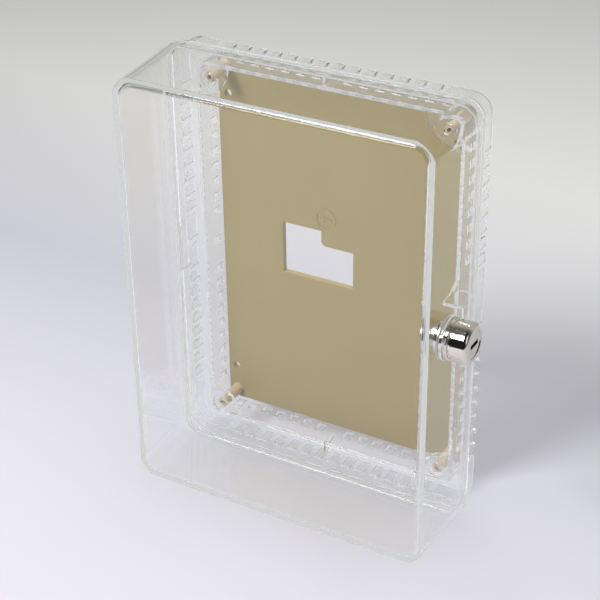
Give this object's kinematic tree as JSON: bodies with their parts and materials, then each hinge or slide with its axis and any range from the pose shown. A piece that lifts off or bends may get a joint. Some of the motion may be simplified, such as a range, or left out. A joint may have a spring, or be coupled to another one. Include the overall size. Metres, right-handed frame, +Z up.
{
  "type": "lockable guard cabinet",
  "caption": "Clear wall-mounted guard cabinet with a key-locked hinged cover, a vented ring base and an opaque wall plate with a wiring window",
  "frame": {"origin": "on the wall plane, at the middle of the rectangle of the four wall screw holes", "axes": "+X to the right across the front, seen from the front (the lock side); +Y into the wall; +Z up"},
  "size_m": [0.1747, 0.072, 0.222],
  "materials": {
    "clear": "polished clear polycarbonate",
    "tan": "fine matt moulded surface",
    "chrome": "bright plated",
    "steel": "zinc plated",
    "brass": "rolled"
  },
  "bodies": {
    "base": {"ring_frame": "clear", "ring_louvres": "clear", "ring_neck": "clear", "ring_corner_webs": "clear", "ring_gussets": "clear", "ring_keeper": "clear", "ring_hinge_socket": "clear", "wall_plate": "tan", "plate_posts": "tan", "plate_mark": "tan"},
    "cover": {"cover_shell": "clear", "cover_hinge_bead": "clear", "cover_lock_boss": "clear", "lock_trim_ring": "chrome", "lock_shell": "chrome", "lock_clip": "steel"},
    "plug": {"lock_plug": "chrome", "lock_wafers": "brass", "lock_springs": "steel", "lock_stop_washer": "steel", "lock_cam": "steel", "cam_lock_washer": "steel", "cam_screw": "steel"}
  },
  "joints": [
    {"name": "cover_hinge", "type": "hinge", "parent": "base", "child": "cover", "pos_m": [-0.0812, -0.023, 0], "axis": [0, 0, -1], "range_deg": [0, 90]},
    {"name": "plug_turn", "type": "hinge", "parent": "cover", "child": "plug", "pos_m": [0.08, -0.0505, 0.008], "axis": [1, 0, 0], "range_deg": [-45, 45]}
  ]
}
